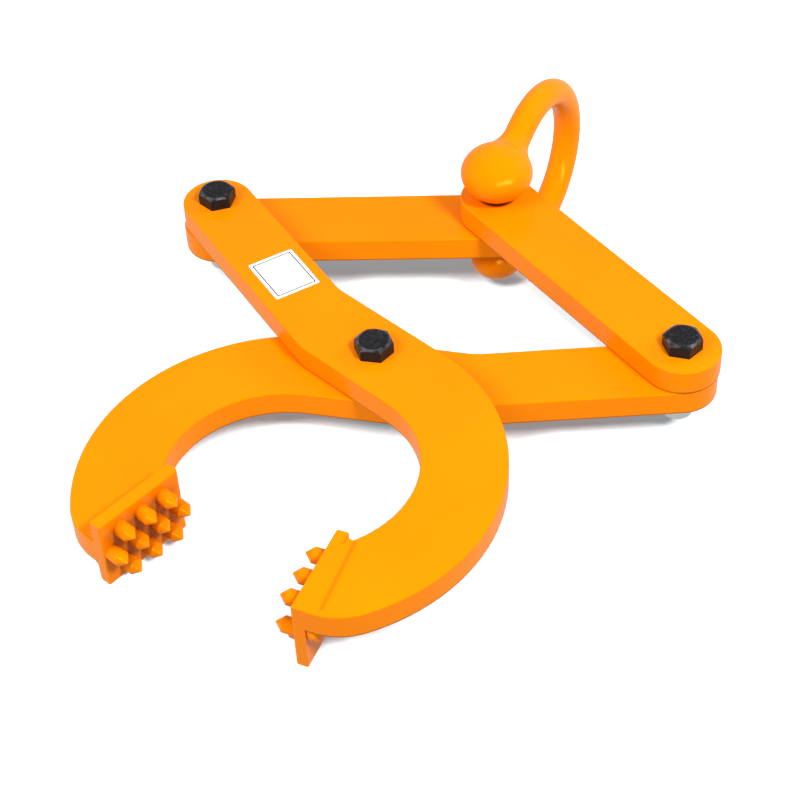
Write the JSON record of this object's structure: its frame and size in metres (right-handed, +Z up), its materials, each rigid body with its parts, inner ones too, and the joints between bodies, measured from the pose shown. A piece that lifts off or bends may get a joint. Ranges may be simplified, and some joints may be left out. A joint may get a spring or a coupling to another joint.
{
  "type": "scissor pallet puller",
  "caption": "Orange steel scissor clamp with crossed hook tongs, toothed jaw pads, two links and a bow shackle; pulling the shackle closes the jaws on a pallet beam.",
  "frame": {"origin": "under the middle of the footprint, level with the underside of the shackle's bow", "axes": "+Y along the pull, from the jaws to the shackle; +Z up, square to the plates; +X to the right seen from behind the jaws"},
  "size_m": [0.4246, 0.5454, 0.1384],
  "materials": {
    "orange_paint": "glossy orange enamel",
    "black_steel": "black oxide, slightly oily",
    "zinc": "bright zinc plate",
    "nylon": "matt off-white nylon"
  },
  "bodies": {
    "upper_tong_body": {"upper_tong": "orange_paint", "upper_jaw_pad": "orange_paint", "upper_jaw_teeth": "orange_paint", "upper_jaw_weld": "orange_paint", "left_bolt": "black_steel", "left_washer": "zinc", "left_nut": "zinc", "left_nut_insert": "nylon", "centre_bolt": "black_steel", "centre_washer": "zinc", "centre_nut": "zinc", "centre_nut_insert": "nylon"},
    "lower_tong_body": {"lower_tong": "orange_paint", "lower_jaw_pad": "orange_paint", "lower_jaw_teeth": "orange_paint", "lower_jaw_weld": "orange_paint"},
    "lower_link_body": {"lower_link": "orange_paint"},
    "upper_link_body": {"upper_link": "orange_paint", "right_bolt": "black_steel", "right_washer": "zinc", "right_nut": "zinc", "right_nut_insert": "nylon"},
    "shackle_body": {"shackle_bow": "orange_paint", "shackle_pin": "orange_paint"}
  },
  "joints": [
    {"name": "centre_pivot", "type": "hinge", "parent": "upper_tong_body", "child": "lower_tong_body", "pos_m": [0, -0.05254, 0.0692], "axis": [0, 0, 1], "range_deg": [-16, 28]},
    {"name": "left_pivot", "type": "hinge", "parent": "upper_tong_body", "child": "lower_link_body", "pos_m": [-0.18533, 0.04189, 0.0692], "axis": [0, 0, 1], "range_deg": [-16, 28]},
    {"name": "right_pivot", "type": "hinge", "parent": "lower_tong_body", "child": "upper_link_body", "pos_m": [0.18533, 0.04189, 0.0692], "axis": [0, 0, 1], "range_deg": [-28, 16]},
    {"name": "shackle_swing", "type": "hinge", "parent": "upper_link_body", "child": "shackle_body", "pos_m": [0, 0.13632, 0.0692], "axis": [0, 0, 1], "range_deg": [-75, 75]}
  ],
  "couplings": [
    {"joint": "left_pivot", "follows": "centre_pivot", "ratio": 1},
    {"joint": "right_pivot", "follows": "centre_pivot", "ratio": -1}
  ]
}
